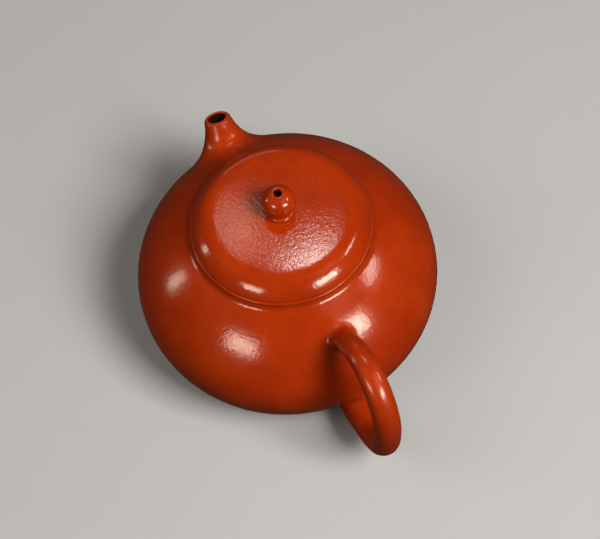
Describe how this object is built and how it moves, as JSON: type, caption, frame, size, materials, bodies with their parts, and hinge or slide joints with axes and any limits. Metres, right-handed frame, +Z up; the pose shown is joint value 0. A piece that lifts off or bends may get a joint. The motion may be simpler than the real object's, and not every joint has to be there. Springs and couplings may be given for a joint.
{
  "type": "yixing clay teapot",
  "caption": "Round-bellied unglazed clay teapot with pressed dome lid, ball knob, short flared spout and loop handle.",
  "frame": {"origin": "on the pot's axis, on the plane of the foot that rests on the table", "axes": "+Z up along the pot's axis, +X towards the spout, -X towards the handle"},
  "size_m": [0.1111, 0.088, 0.0656],
  "materials": {
    "clay": "unglazed red clay, burnished to a soft gloss",
    "lid_clay": "unglazed red clay with the fine wrinkled skin that it takes in the kiln"
  },
  "bodies": {
    "pot": {"body_wall": "clay", "base_disc": "clay", "shoulder_disc": "clay", "neck_ring": "clay", "spout": "clay", "strainer": "clay", "handle": "clay"},
    "lid": {"lid_plate": "clay", "lid_dome": "lid_clay", "lid_flange": "clay", "knob_collar": "clay", "knob_ball": "clay"}
  },
  "joints": [
    {"name": "lid_lift", "type": "slide", "parent": "pot", "child": "lid", "axis": [0, 0, 1], "range_m": [0, 0.03]}
  ]
}
